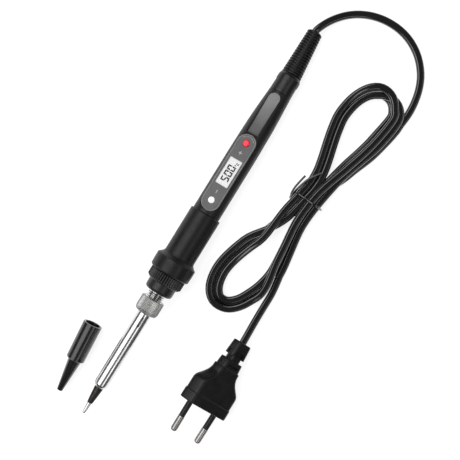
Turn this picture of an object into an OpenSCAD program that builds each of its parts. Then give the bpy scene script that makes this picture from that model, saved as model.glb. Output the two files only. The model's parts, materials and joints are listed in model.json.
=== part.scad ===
// Temperature-controlled soldering iron: a pencil iron with a display in its handle, its mains cord
// folded into a tied hank, a two-pin mains plug and a loose protective cap.
// Millimetres, +Z up. Everything lies on the plane Z = 0, and the origin is on that plane, under
// the middle of the iron and its cap. The iron points along -X, so its cord leaves towards +X.

/* [Tip and barrel] */
// Length of the soldering tip that stands out of the barrel
tip_out = 17.5; // [15:0.5:20]
// Outer diameter of the steel barrel
barrel_d = 8.4; // [8.2:0.1:8.6]
// Outer diameter of the knurled barrel nut
nut_d = 14; // [13.5:0.1:15]

/* [Handle] */
// Diameter of the handle at the display
handle_d = 16.6; // [16.4:0.1:17]
// Diameter of the rubber grip
grip_d = 18.7; // [18:0.1:19.4]
// Diameter of the stop flange on the grip
flange_d = 24.4; // [23:0.1:25]
// Number of ribs round the locking collar
collar_ribs = 44; // [24:2:60]
// How far the iron is rolled, so that its display faces one side, in degrees
roll = 12; // [0:1:20]

/* [Display and buttons] */
// Length of the display window
window_l = 16.9; // [14:0.1:18]
// Width of the display window
window_w = 8; // [6:0.1:8.4]
// Diameter of the push buttons
button_d = 3.7; // [3:0.1:3.8]
// Travel of the push buttons
button_travel = 0.4; // [0.2:0.05:0.45]

/* [Cord and plug] */
// Width of the flat mains cord
cord_w = 4.5; // [4:0.1:4.6]
// Thickness of the flat mains cord
cord_t = 3.3; // [3:0.1:3.4]
// Number of ribs on the strain relief boot
boot_ribs = 17; // [10:1:20]
// Roll of the plug, which lies on the long edge of its face, in degrees
plug_roll = 28.5; // [20:1:40]

/* [Cap] */
// Outer diameter of the cap at its mouth
cap_d = 11.5; // [10.8:0.1:12]
// Length of the cap
cap_l = 43.6; // [42:0.1:46]

/* [Hidden] */
$fn = 64;

eps = 0.02;
air = 0.08;           // radial running clearance between turning parts
face_gap = 0.05;      // axial gap between parts that move apart

// Stations along the iron's own axis, from the end of the tip
barrel_x = tip_out;
barrel_r = barrel_d / 2;
barrel_wall = 0.5;
lip_wall = 2.4;
nut_x = 66.8;
barrel_neck_r = 4;    // the barrel is turned down a little where the nut covers it
nut_end = 76.2;
barrel_flange_x = nut_x + 1;
nipple_x = 69.2;
nipple_r = 5.4;
nipple_bore_r = 4.4;
collar_x = 80.4;
collar_step_x = 86.4;
collar_end = 92.5;
collar_r = 10.7;
collar_nose_r = 8.5;
collar_wall_end = 83.5;
spigot_x = 85.2;
spigot_r = 8.9;
spigot_neck_r = 7.5;   // the spigot steps down inside the nose of the locking collar
spigot_step_x = 87.6;
grip_x = 92.8;
flange_end = 101.2;
grip_end = 132.8;
sleeve_r = 7.3;
sleeve_bore_r = 5.8;
handle_end = 212.8;
handle_r = handle_d / 2;
rear_taper = 1.5;
shell_wall = 1.4;
ceiling_z = 4.3;      // underside of the flat top wall inside the handle
rear_spigot_end = 218;
rear_spigot_r = 5.5;
rear_bore_r = 4.6;
rear_collar_r = 6.8;
rear_collar_x = 223.2;
rear_collar_end = 225;
boot_start = 225.4;
boot_l = 28.1;
boot_r = 6.1;
boot_end_r = 4.4;
boot_bend = -2.5;     // the boot points this many degrees to one side

// The iron lies on its grip flange and its rear collar, which tilts it nose up
flange_r = flange_d / 2;
tilt = atan((flange_r - rear_collar_r) / (rear_collar_x - flange_end));
axis_z = flange_end * sin(tilt) + flange_r * cos(tilt);

// Front panel and buttons
panel_x = [134.6, 184.2];
panel_w = 11.6;
panel_floor = 5.4;
panel_top = 6.3;
display_x = 159.6;
minus_x = 141.2;
plus_x = 178.4;
button_r = button_d / 2;
button_top = 7.2;
label_x = [184.8, 211.6];
label_w = 7;
label_floor = 5.3;
label_top = 6.05;

// Circuit board
board_x = [113, 196.5];
board_w = 9.2;
board_z = [0.2, 1.4];

// Cap
cap_mouth = [43.7, 22.65];
cap_turn = 4.4;
cap_body_l = 22.8;
cap_r = cap_d / 2;
cap_step_r = 5.5;
cap_pitch = atan((cap_r - cap_step_r) / cap_body_l);

// Plug
plug_front = [37.3, -56.4];
plug_pitch = 9.3;
plug_yaw = -0.85;
plug_l = 43.4;
plug_face_w = 34.6;
plug_face_t = 13.4;
plug_flat_w = 25.6;
plug_face_l = 6.2;
pin_r = 2;
pin_l = 19;
pin_spacing = 18.6;
pin_toe_in = 0.9;
pin_core_r = 1.5;
pin_sleeve_r = 1.8;
sleeve_l = 9.6;
plug_drop = plug_flat_w / 2 * sin(plug_roll) + plug_face_t / 2 * cos(plug_roll);
plug_z = plug_drop * cos(plug_pitch) + plug_face_l * sin(plug_pitch);

// The origin stands under the middle of the iron and its cap
boot_aim = [cos(boot_bend) * cos(tilt), -sin(boot_bend), -cos(boot_bend) * sin(tilt)];
boot_tip = rear_collar_end * [cos(tilt), 0, -sin(tilt)] + [0, 0, axis_z]
    + (boot_start + boot_l - rear_collar_end) * boot_aim;
tip_end_r = 0.95;
boot_lean = cos(boot_bend) * cos(tilt);
x_low = -tip_end_r * sin(tilt);
x_high = boot_tip[0] + boot_end_r * sqrt(1 - boot_lean * boot_lean);
y_high = cap_mouth[1] + cap_r * cos(cap_turn);
centre = [(x_low + x_high) / 2, (y_high - flange_r) / 2, 0];

// Route of the cord, in plan from the tip end: its loose stretch from the boot to the hank
lift = cord_t / 2;
from_handle = [
    boot_tip, boot_tip + 1.5 * boot_aim, [258, 0.2, 5], [262.4, -1.9, 4.2], [267.2, -5.1, 3.3],
    [271.9, -9.4, 2.4], [276, -15, 1.8], [279.1, -22.1, lift], [280.7, -30.3, lift],
    [280.4, -39.4, lift], [277.8, -48.1, lift], [272.7, -56.1, lift], [265.6, -62.4, lift],
    [258.2, -66.1, lift], [250.4, -68.1, lift], [242.5, -68.8, lift], [234.5, -68.2, lift]
];
// The closed middle line of the hank, from the limb where the cord joins it
hank_line = [
    [234.3, -63.7], [219.4, -62], [208.4, -59.5], [196.1, -55.8], [184, -52.3], [170.9, -49.6],
    [155.5, -48.6], [139.1, -50.5], [123.9, -51.8], [113.8, -50.1], [105.8, -46.9], [98.6, -42.8],
    [94, -37.1], [94.1, -30.4], [99.5, -25.7], [108.2, -23.9], [117.4, -24.9], [130, -28.8],
    [142.4, -34.1], [156.6, -38.8], [170.8, -41.9], [178.8, -43.3], [186.9, -43.2], [194.9, -41.7],
    [204, -39.4], [213, -37.4], [222, -36.4], [232.4, -38.2], [240.2, -42.4], [244.2, -48.3],
    [244.2, -55.3], [240.4, -60.8]
];
hank_h = 2 * cord_t;
pinch = 13.5;         // the loops of the hank open this far to each side of the tie
// The loose stretch from the hank to the plug
plug_exit = [plug_front[0], plug_front[1], plug_z]
    + plug_l * [cos(plug_pitch) * cos(plug_yaw), cos(plug_pitch) * sin(plug_yaw), -sin(plug_pitch)];
to_plug = [
    [124, -55, lift], [117.9, -56, lift], [111.7, -56.6, 1.8], [104.6, -56.6, 2.5],
    [97.7, -56.6, 3.4], [90.8, -56.7, 4.5], plug_exit
];
tie_x = 169.5;
tie_wire = 1.1;
tie_w = 1.2;

// ---------------------------------------------------------------- helpers

// Puts children drawn in plan from the tip end into the part's frame
module part() {
    translate(-centre) children();
}

// Puts children drawn along the iron's axis, with the panel facing +Z, into the part's frame
module iron() {
    part() translate([0, 0, axis_z]) rotate([-roll, tilt, 0]) children();
}

// A solid of revolution about X from [along, radius] points
module turned(points) {
    rotate([0, 90, 0]) rotate_extrude() polygon([for (p = points) [p[1], p[0]]]);
}

// A round bar or tube along X
module bar(x, r) {
    translate([x[0], 0, 0]) rotate([0, 90, 0]) cylinder(h = x[1] - x[0], r = r);
}

module tube(x, r_out, r_in) {
    difference() {
        bar(x, r_out);
        bar([x[0] - 1, x[1] + 1], r_in);
    }
}

// A block from its low and high corners
module block(low, high) {
    translate(low) cube(high - low);
}

// Outline with straight sides and round ends along X
module stadium(x, w) {
    r = w / 2;
    union() {
        translate([x[0] + r, -r]) square([x[1] - x[0] - w, w]);
        translate([x[0] + r, 0]) circle(r);
        translate([x[1] - r, 0]) circle(r);
    }
}

// Toothed outline: ribs of the given depth round a circle
function ribbed(r, depth, count) = [
    for (i = [0 : count - 1], k = [0 : 3])
        let (a = 360 / count * (i + [0, 0.5, 0.65, 0.85][k]), q = k < 2 ? r : r - depth)
        [q * cos(a), q * sin(a)]
];

// Catmull-Rom point between b and c
function spline(a, b, c, d, t) =
    ((2 * b) + (c - a) * t + (2 * a - 5 * b + 4 * c - d) * t * t + (3 * b - a - 3 * c + d) * t * t * t) / 2;

function open_curve(p, steps) = concat([
    for (i = [0 : len(p) - 2], k = [0 : steps - 1])
        spline(p[max(i - 1, 0)], p[i], p[i + 1], p[min(i + 2, len(p) - 1)], k / steps)
], [p[len(p) - 1]]);

function closed_curve(p, steps) = let (n = len(p)) [
    for (i = [0 : n - 1], k = [0 : steps - 1])
        spline(p[(i + n - 1) % n], p[i], p[(i + 1) % n], p[(i + 2) % n], k / steps)
];

// Plan outline moved sideways from a closed line; positive is away from its middle
function beside(line, d) = let (n = len(line)) [
    for (i = [0 : n - 1])
        let (v = line[(i + 1) % n] - line[(i + n - 1) % n])
        line[i] + d / norm(v) * [-v[1], v[0]]
];

// A flat tube swept along points as one polyhedron; w is its width in plan and t its height
module swept(path, w, t, sides) {
    n = len(path);
    rings = [
        for (i = [0 : n - 1])
            let (v = path[min(i + 1, n - 1)] - path[max(i - 1, 0)], f = v / norm(v),
                 s = cross(f, [0, 0, 1]), side = s / norm(s), up = cross(side, f))
            for (k = [0 : sides - 1])
                path[i] + w / 2 * cos(360 / sides * k) * side + t / 2 * sin(360 / sides * k) * up
    ];
    skin(rings, n, sides);
}

// Closes rings of points into a solid with flat ends
module skin(rings, n, sides) {
    walls = [
        for (i = [0 : n - 2], k = [0 : sides - 1])
            let (a = i * sides + k, b = i * sides + (k + 1) % sides)
            [a, b, b + sides, a + sides]
    ];
    triangles = [for (f = walls) each [[f[0], f[1], f[2]], [f[0], f[2], f[3]]]];
    first = [for (k = [sides - 1 : -1 : 0]) k];
    last = [for (k = [0 : sides - 1]) (n - 1) * sides + k];
    polyhedron(rings, concat(triangles, [first], [last]));
}

// ---------------------------------------------------------------- tip, barrel and nut

tip_neck = 2.7;
lip_bore_r = 2.85;
tip_shoulder = tip_out + lip_wall + face_gap;
module soldering_tip() {
    color("#8f8a84") iron() difference() {
        turned([
            [0, 0], [0, tip_end_r - 0.25], [0.25, tip_end_r], [2, 1.18], [6.8, 1.55], [11, 2.1],
            [tip_out, tip_neck], [tip_shoulder, tip_neck], [tip_shoulder, 3.3],
            [tip_shoulder + 2.2, 3.3], [tip_shoulder + 2.2, 2.8], [43, 2.8], [43, 0]
        ]);
        bar([14, 44], 2.05);
    }
}

barrel_flange_r = 5.15;
slot_x = [58.2, 64.6];
slot_w = 1.3;
slot_turn = 22;
module barrel_tube() {
    color("#d9d9dc") iron() difference() {
        union() {
            turned([
                [barrel_x, 0], [barrel_x, barrel_r - 1.05], [barrel_x + 0.6, barrel_r - 0.6],
                [barrel_x + 1.6, barrel_r - 0.2], [barrel_x + 2.9, barrel_r], [nut_x - 0.2, barrel_r],
                [nut_x - 0.2, barrel_neck_r], [barrel_flange_x + 1, barrel_neck_r],
                [barrel_flange_x + 1, 0]
            ]);
            bar([barrel_flange_x, nipple_x - face_gap], barrel_flange_r);
        }
        bar([barrel_x - 1, barrel_x + lip_wall + 1], lip_bore_r);
        bar([barrel_x + lip_wall, nipple_x + 1], barrel_r - barrel_wall);
        // Vent slot through the top of the tube near the nut
        rotate([slot_turn, 0, 0]) translate([0, 0, 2]) linear_extrude(height = 4) stadium(slot_x, slot_w);
    }
}

module barrel_nut() {
    color("#b9bab8") iron() difference() {
        union() {
            translate([nut_x + 0.6, 0, 0]) rotate([0, 90, 0])
                linear_extrude(height = nut_end - nut_x - 1.2) polygon(ribbed(nut_d / 2, 0.22, 56));
            turned([
                [nut_x, 0], [nut_x, nut_d / 2 - 0.6], [nut_x + 0.6, nut_d / 2 - 0.25],
                [nut_end - 0.6, nut_d / 2 - 0.25], [nut_end, nut_d / 2 - 0.6], [nut_end, 0]
            ]);
        }
        bar([nut_x - 1, nut_end], barrel_r + air);
        bar([barrel_flange_x - face_gap, nut_end + 1], nipple_r + air);
    }
}

// ---------------------------------------------------------------- heater carrier and locking collar

nipple_flange = [collar_wall_end + face_gap, spigot_x - face_gap];
nipple_end = 89;
module threaded_nipple() {
    pitch = 1;
    root = 0.35;
    turns = 12;
    color("#d2d3d6") iron() difference() {
        union() {
            turned(concat(
                [[nipple_x, 0], [nipple_x, nipple_r - root]],
                [for (i = [0 : turns - 1], k = [0 : 1])
                    [nipple_x + pitch * (i + 0.5 + k * 0.5), nipple_r - root * k]],
                [[nipple_x + turns * pitch, nipple_r], [nipple_end, nipple_r], [nipple_end, 0]]
            ));
            bar(nipple_flange, spigot_neck_r - 0.1);
        }
        bar([nipple_x - 1, nipple_end + 1], nipple_bore_r);
    }
}

heater_r = 1.9;
bush_x = [73, 80];
module ceramic_heater() {
    color("#ece8df") iron() bar([15.5, bush_x[0]], heater_r);
}

module heater_bush() {
    color("#f0ece2") iron() difference() {
        union() {
            bar([bush_x[0], bush_x[0] + 1.5], nipple_bore_r - 0.02);
            bar([bush_x[0] + 1, bush_x[1]], 3.2);
        }
        for (a = [45 : 90 : 315])
            rotate([a, 0, 0]) translate([0, 1.7, 0]) bar([bush_x[0] + 3, bush_x[1] + 1], 0.5);
    }
}

module locking_collar() {
    color("#1d1d1f") iron() difference() {
        union() {
            turned([
                [collar_x, 0], [collar_x, collar_nose_r - 1.6], [collar_x + 0.5, collar_nose_r - 0.6],
                [collar_x + 1.5, collar_nose_r - 0.1], [collar_step_x + 0.5, collar_nose_r],
                [collar_step_x + 0.5, 0]
            ]);
            translate([collar_step_x + 0.4, 0, 0]) rotate([0, 90, 0])
                linear_extrude(height = collar_end - collar_step_x - 0.4)
                    polygon(ribbed(collar_r, 0.55, collar_ribs));
            bar([collar_step_x, collar_end], collar_r - 0.7);
        }
        bar([collar_x - 1, collar_end + 1], nipple_r + air);
        bar([collar_wall_end, collar_end], spigot_neck_r + air);
        bar([spigot_step_x - face_gap, collar_end + 1], spigot_r + air);
    }
}

// ---------------------------------------------------------------- handle

module rubber_grip() {
    r = grip_d / 2;
    color("#161617") iron() difference() {
        turned([
            [grip_x, 0], [grip_x, flange_r - 0.8], [grip_x + 0.8, flange_r - 0.15], [97, flange_r],
            [flange_end, flange_r], [flange_end + 1.4, flange_r - 1.7], [flange_end + 2.4, r + 0.3],
            [flange_end + 3.4, r], [grip_end - 0.8, r], [grip_end, r - 0.5], [grip_end, 0]
        ]);
        bar([grip_x - 1, grip_end + 1], sleeve_r + eps);
    }
}

handle_outline = [
    [spigot_x, 0], [spigot_x, spigot_neck_r], [spigot_step_x, spigot_neck_r],
    [spigot_step_x, spigot_r - 0.4], [spigot_step_x + 0.4, spigot_r], [grip_x, spigot_r],
    [grip_x, sleeve_r], [grip_end, sleeve_r], [grip_end, handle_r], [170, handle_r],
    [180, handle_r - 0.12], [190, handle_r - 0.32], [195, handle_r - 0.48], [200, handle_r - 0.73],
    [handle_end, handle_r - rear_taper], [handle_end, rear_spigot_r],
    [rear_spigot_end, rear_spigot_r], [rear_spigot_end, 0]
];
hollow_outline = [
    [spigot_x - 1, 0], [spigot_x - 1, 5.6], [grip_x, 5.6], [grip_x + 1, sleeve_bore_r],
    [grip_end, sleeve_bore_r], [grip_end + 1, handle_r - shell_wall], [170, handle_r - shell_wall],
    [190, handle_r - 0.4 - shell_wall], [handle_end - 4, handle_r - rear_taper - shell_wall],
    [handle_end - 2, rear_bore_r], [rear_spigot_end + 1, rear_bore_r], [rear_spigot_end + 1, 0]
];

module handle_hollow() {
    difference() {
        turned(hollow_outline);
        block([grip_end + 0.5, -10, ceiling_z], [handle_end - 3, 10, 10]);
    }
}

window_hole = [window_l + 0.7, window_w + 0.6];
module handle_top_shell() {
    color("#3a3b3d") iron() difference() {
        turned(handle_outline);
        handle_hollow();
        block([spigot_x - 1, -12, -12], [rear_spigot_end + 1, 12, 0]);
        translate([0, 0, panel_floor]) linear_extrude(height = 4)
            stadium([panel_x[0] - 0.1, panel_x[1] + 0.1], panel_w + 0.2);
        translate([0, 0, label_floor]) linear_extrude(height = 4) label_outline(0.05);
        translate([display_x - window_hole[0] / 2, -window_hole[1] / 2, ceiling_z - 1])
            cube([window_hole[0], window_hole[1], 3]);
        for (x = [minus_x, plus_x])
            translate([x, 0, ceiling_z - 1]) cylinder(h = 3, r = 2.5);
    }
}

module handle_bottom_shell() {
    color("#343537") iron() difference() {
        union() {
            difference() {
                turned(handle_outline);
                handle_hollow();
                block([spigot_x - 1, -12, 0], [rear_spigot_end + 1, 12, 12]);
            }
            // Bosses that take the clamp screws
            for (y = [-1, 1])
                translate([clamp_x, y * clamp_hole_y, boss_low]) cylinder(h = clamp_low - boss_low, r = 1.2);
        }
        for (y = [-1, 1])
            translate([clamp_x, y * clamp_hole_y, -screw_l - 0.1]) cylinder(h = screw_l, r = screw_r + eps);
    }
}

module label_outline(grow) {
    r = label_w / 2 + grow;
    union() {
        translate([label_x[0] - grow, -r]) square([label_x[1] - r - label_x[0] + 2 * grow, 2 * r]);
        translate([label_x[1] - r + grow, 0]) circle(r);
    }
}

module front_panel() {
    color("#6b6d70") iron() translate([0, 0, panel_floor]) linear_extrude(height = panel_top - panel_floor)
        difference() {
            stadium(panel_x, panel_w);
            translate([display_x - window_l / 2, -window_w / 2]) square([window_l, window_w]);
            for (x = [minus_x, plus_x]) translate([x, 0]) circle(button_r + air);
        }
}

module label_inlay() {
    color("#8b8d8f") iron() translate([0, 0, label_floor])
        linear_extrude(height = label_top - label_floor) label_outline(0);
}

// ---------------------------------------------------------------- display, buttons and board

module display_window() {
    play = 0.05;
    color("#eceeea") iron() translate([display_x, 0, (panel_floor + panel_top) / 2])
        cube([window_l - 2 * play, window_w - 2 * play, panel_top - panel_floor - 0.1], center = true);
}

cell_z = [panel_floor - 1.7, panel_floor];
module display_cell() {
    color("#b9c2b4") iron() translate([display_x, 0, (cell_z[0] + cell_z[1]) / 2])
        cube([window_l + 0.5, window_w + 0.4, cell_z[1] - cell_z[0]], center = true);
}

module display_pins() {
    color("#cfcfcf") iron() for (side = [-1, 1], i = [0 : 5])
        translate([display_x - 6.25 + 2.5 * i, side * 3.3, board_z[1]])
            cylinder(h = cell_z[0] - board_z[1], r = 0.25);
}

button_flange_z = [panel_floor - 0.7, panel_floor - 0.05];
module push_button(x) {
    iron() translate([x, 0, 0]) rotate_extrude() polygon([
        [0, button_flange_z[0]], [2.3, button_flange_z[0]], [2.3, button_flange_z[1]],
        [button_r, button_flange_z[1]], [button_r, button_top - 0.3], [button_r - 0.3, button_top],
        [0, button_top]
    ]);
}

plunger_r = 0.8;
module plunger(x) {
    iron() translate([x, 0, 3.2]) cylinder(h = button_flange_z[0] - 3.2, r = plunger_r);
}

module tact_switch(x) {
    iron() translate([x, 0, board_z[1]]) difference() {
        translate([-2.3, -2.3, 0]) cube([4.6, 4.6, 2.5]);
        translate([0, 0, 3.2 - board_z[1] - 0.5]) cylinder(h = 3, r = plunger_r + air);
    }
}

module minus_button() {
    color("#f4f4f2") push_button(minus_x);
}

module plus_button() {
    color("#d8202e") push_button(plus_x);
}

module minus_plunger() {
    color("#303030") plunger(minus_x);
}

module plus_plunger() {
    color("#303030") plunger(plus_x);
}

module minus_switch() {
    color("#b0b0ae") tact_switch(minus_x);
}

module plus_switch() {
    color("#b0b0ae") tact_switch(plus_x);
}

module circuit_board() {
    color("#1f6b3a") iron()
        block([board_x[0], -board_w / 2, board_z[0]], [board_x[1], board_w / 2, board_z[1]]);
}

module control_chip() {
    color("#202022") iron() {
        block([150, -2, board_z[0] - 1.6], [160, 2, board_z[0] - 0.2]);
        for (side = [-1, 1], i = [0 : 6])
            translate([151.2 + 1.27 * i, side * 2.5, board_z[0] - 0.5])
                cube([0.45, 1, 1], center = true);
    }
}

module power_triac() {
    color("#252527") iron() {
        block([186, -2.4, board_z[0] - 3.4], [190.5, 2.4, board_z[0]]);
        block([190.5, -2.1, board_z[0] - 0.9], [193, 2.1, board_z[0]]);
    }
}

module film_capacitor() {
    color("#c8651e") iron() block([168, -2.5, board_z[0] - 4], [178, 2.5, board_z[0]]);
}

// Two heater leads and two sensor leads, bent from the bush up to the board's front edge
module heater_leads() {
    color("#d9d4c8") iron() for (sy = [-1, 1], sz = [-1, 1]) {
        reach = sz > 0 ? 116 : 119;
        y_end = sz > 0 ? 1.2 : 3.4;
        swept(open_curve([
            [bush_x[1] - 2, sy * 1.2, sz * 1.2], [bush_x[1] + 4, sy * 1.2, sz * 1.2],
            [98, sy * 1.4, 1.4 + sz], [108, sy * y_end, 2.2 + sz * 0.2],
            [112, sy * y_end, 1.9], [reach, sy * y_end, 1.9]
        ], 4), 0.9, 0.9, 8);
    }
}

// ---------------------------------------------------------------- rear end and cord inside the handle

clamp_x = 204;
clamp_hole_y = 3.45;
clamp_low = -2.2;
boss_low = -4.9;
screw_r = 0.75;
screw_l = 4;
module cable_clamp() {
    color("#2c2c2e") iron() difference() {
        block([clamp_x - 2, -4.6, clamp_low], [clamp_x + 2, 4.6, 0]);
        block([clamp_x - 3, -cord_w / 2, -cord_t / 2], [clamp_x + 3, cord_w / 2, 1]);
        for (y = [-1, 1])
            translate([clamp_x, y * clamp_hole_y, -screw_l]) cylinder(h = 6, r = screw_r + 0.1);
    }
}

module clamp_screws() {
    color("#c0c2c6") iron() for (y = [-1, 1]) translate([clamp_x, y * clamp_hole_y, 0]) difference() {
        union() {
            cylinder(h = 0.8, r = 1.15);
            translate([0, 0, -screw_l]) cylinder(h = screw_l + 0.1, r = screw_r);
        }
        translate([-0.2, -2, 0.5]) cube([0.4, 4, 1]);
    }
}

inner_end = 201.8;
module inner_cord() {
    color("#151515") iron() {
        straight_cord([inner_end, boot_start + 0.1]);
        along_boot() straight_cord([0, boot_l]);
    }
}

// Section of the flat cord, lying flat, as straight sides with round ends
module cord_section() {
    union() {
        square([cord_w - cord_t, cord_t], center = true);
        for (side = [-1, 1]) translate([side * (cord_w - cord_t) / 2, 0]) circle(cord_t / 2);
    }
}

module cord_cores() {
    color("#7a4a2a") iron() for (side = [-1, 1])
        swept(open_curve([
            [inner_end - 0.05, side * 1, 0], [inner_end - 0.9, side * 1, 0.02],
            [inner_end - 2.4, side * 1.25, 0.6], [inner_end - 4, side * 1.65, 1.6],
            [board_x[1] - 0.3, side * 1.9, 2.15], [board_x[1] - 2, side * 2, 2.15],
            [board_x[1] - 5, side * 2, 2.15]
        ], 2), 1.2, 1.2, 8);
}

module rear_collar() {
    color("#1b1b1d") iron() difference() {
        turned([
            [handle_end + 0.1, 0], [handle_end + 0.1, handle_r - rear_taper - 0.05], [219.8, 6.55],
            [220.4, rear_collar_r], [rear_collar_x, rear_collar_r], [rear_collar_end, 6.1],
            [rear_collar_end, 0]
        ]);
        bar([handle_end, 222], rear_spigot_r + 0.05);
        bar([handle_end, rear_collar_end + 1], rear_bore_r);
    }
}

// Puts children drawn from the start of the boot along its own axis, which is bent to one side and
// not rolled with the handle, so that its spines are on top and below
module along_boot() {
    rotate([roll, 0, 0]) translate([rear_collar_end, 0, 0]) rotate([0, 0, -boot_bend])
        translate([boot_start - rear_collar_end, 0, 0]) children();
}

// A length of the flat cord along X
module straight_cord(x) {
    translate([x[0], 0, 0]) rotate([90, 0, 90]) linear_extrude(height = x[1] - x[0]) cord_section();
}

// Rubber boot: rings joined by a spine above and below
module strain_relief_boot() {
    pitch = boot_l / boot_ribs;
    groove = 0.42 * pitch;
    depth = 1;
    spine_w = 1.8;
    spine_drop = 0.2;
    function boot_radius(x) = boot_r + (boot_end_r - boot_r) * x / boot_l;
    color("#141415") iron() {
        difference() {
            union() {
                bar([rear_spigot_end + 0.2, 221.8], 5.4);
                bar([rear_spigot_end + 0.2, boot_start + 1], rear_bore_r - 0.1);
            }
            straight_cord([rear_spigot_end - 1, boot_start + 2]);
        }
        along_boot() difference() {
            union() {
                turned(concat([[0, 0]], [
                    for (i = [0 : boot_ribs - 1], k = [0 : 3])
                        let (x = pitch * i + [0, pitch - groove, pitch - groove, pitch][k])
                        [x, boot_radius(x) - (k < 2 ? 0 : depth)]
                ], [[boot_l, 0]]));
                intersection() {
                    turned([
                        [0, 0], [0, boot_r - spine_drop], [boot_l, boot_end_r - spine_drop], [boot_l, 0]
                    ]);
                    block([0, -spine_w / 2, -boot_r], [boot_l, spine_w / 2, boot_r]);
                }
            }
            straight_cord([-1, boot_l + 1]);
        }
    }
}

// ---------------------------------------------------------------- free cord, hank, tie and plug

module cord_from_handle() {
    color("#121212") part() swept(open_curve(from_handle, 1), cord_w, cord_t, 10);
}

module cord_to_plug() {
    color("#121212") part() swept(open_curve(to_plug, 1), cord_w, cord_t, 10);
}

// Part of a closed line, by its first and last point
function stretch(line, first, last) = [for (i = [first : last]) line[i]];

// Section of the pinched hank inside the tie, and the loop of wire round it
tie_low = tie_wire;
tie_high = hank_h;
tie_y = [-54, -49.7, -45.1, -37.2];   // edges of the pinched hank and of its raised strand
tie_core = [
    [tie_y[0], tie_low], [tie_y[3], tie_low], [tie_y[3], cord_t], [tie_y[2], tie_high],
    [tie_y[1], tie_high], [tie_y[0], cord_t]
];

// The folded hank: a band two cords wide, pinched in its middle by the tie, where a third strand
// of its near limb rides over another
module cord_hank() {
    line = closed_curve(hank_line, 2);
    inner = beside(line, -cord_w);
    over = [6, 18];
    color("#171717") part() difference() {
        union() {
            linear_extrude(height = cord_t) difference() {
                polygon(beside(line, cord_w));
                polygon([for (p = inner) if (p[0] < tie_x - pinch) p]);
                polygon([for (p = inner) if (p[0] > tie_x + pinch) p]);
            }
            linear_extrude(height = hank_h) polygon(concat(
                stretch(line, over[0], over[1]),
                [for (i = [over[1] : -1 : over[0]]) inner[i]]
            ));
        }
        translate([tie_x - tie_w / 2, 0, 0]) rotate([90, 0, 90]) linear_extrude(height = tie_w)
            difference() {
                translate([-60, -1]) square([25, 2 * hank_h]);
                polygon(tie_core);
            }
    }
}

// A wire twist tie, as the band that it makes round the pinched hank
module twist_tie() {
    near = tie_y[0] - tie_wire;
    far = tie_y[3] + tie_wire;
    top = tie_high + tie_wire;
    loop = [
        [near, 0.3], [tie_y[0], 0], [tie_y[3], 0], [far, 0.3], [far, cord_t + 0.6],
        [tie_y[2] + 0.4, top], [tie_y[1] - 0.4, top], [near, cord_t + 0.6]
    ];
    color("#101010") part() translate([tie_x - tie_w / 2, 0, 0]) rotate([90, 0, 90])
        linear_extrude(height = tie_w) difference() {
            polygon(loop);
            polygon(tie_core);
        }
}

// Puts children drawn from the plug's face, with the cord side towards +X, into the part's frame
module plug() {
    part() translate([plug_front[0], plug_front[1], plug_z]) rotate([plug_roll, plug_pitch, plug_yaw])
        children();
}

// Half outline of the plug's section as a six-sided shape with rounded corners
function plug_ring(w, t, flat) = let (
    corners = [[flat / 2, t / 2], [-flat / 2, t / 2], [-w / 2, 0], [-flat / 2, -t / 2],
               [flat / 2, -t / 2], [w / 2, 0]],
    n = len(corners), ease = 0.12
) [
    for (i = [0 : n - 1], k = [0 : 2])
        let (a = corners[(i + n - 1) % n], b = corners[i], c = corners[(i + 1) % n],
             p = b + (a - b) * ease, q = b + (c - b) * ease, m = (p + q) / 4 + b / 2)
        [p, m, q][k]
];

// Sections of the plug from its face to its cord end: [along, width, thickness, flat width]
plug_sections = [
    [0, plug_face_w - 0.4, plug_face_t - 0.4, plug_flat_w - 0.3],
    [0.5, plug_face_w, plug_face_t, plug_flat_w], [plug_face_l, plug_face_w, plug_face_t, plug_flat_w],
    [plug_face_l + 0.1, 33.4, 12.8, 25], [14.5, 33.4, 12.8, 25], [17.5, 27.5, 12, 19.6],
    [20, 22.8, 11.2, 15.5], [22.5, 19.4, 10.6, 12.6], [26.3, 19, 10.4, 12.4], [26.5, 16.8, 9.8, 10.8],
    [31.6, 15.8, 9.4, 10], [plug_l, 12.6, 8.2, 7.8]
];

module pin_axis(side) {
    translate([0, side * pin_spacing / 2, 0]) rotate([0, 0, side * pin_toe_in]) children();
}

module plug_body() {
    sides = 18;
    notch_x = [31.8, 34.3];
    notch_y = 5.1;
    color("#1a1a1b") plug() difference() {
        skin([
            for (s = plug_sections, p = plug_ring(s[1], s[2], s[3])) [s[0], p[0], p[1]]
        ], len(plug_sections), sides);
        for (side = [-1, 1]) pin_axis(side) {
            bar([-1, 1], pin_sleeve_r + 0.1);
            bar([0, 10], pin_core_r);
        }
        // Notches that let the cord end of the plug flex
        for (side = [-1, 1])
            translate([(notch_x[0] + notch_x[1]) / 2, side * (notch_y + 3), 0])
                cube([notch_x[1] - notch_x[0], 6, 12], center = true);
    }
}

module plug_pins() {
    color("#c9c9c6") plug() for (side = [-1, 1]) pin_axis(side) turned([
        [-pin_l, 0], [-pin_l, 0.7], [-pin_l + 0.35, 1.4], [-pin_l + 1, 1.85], [-pin_l + 1.6, pin_r],
        [-sleeve_l, pin_r], [-sleeve_l, pin_core_r], [10, pin_core_r], [10, 0]
    ]);
}

module pin_sleeves() {
    color("#202022") plug() for (side = [-1, 1]) pin_axis(side)
        tube([-sleeve_l, 1], pin_sleeve_r, pin_core_r);
}

// ---------------------------------------------------------------- cap

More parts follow.
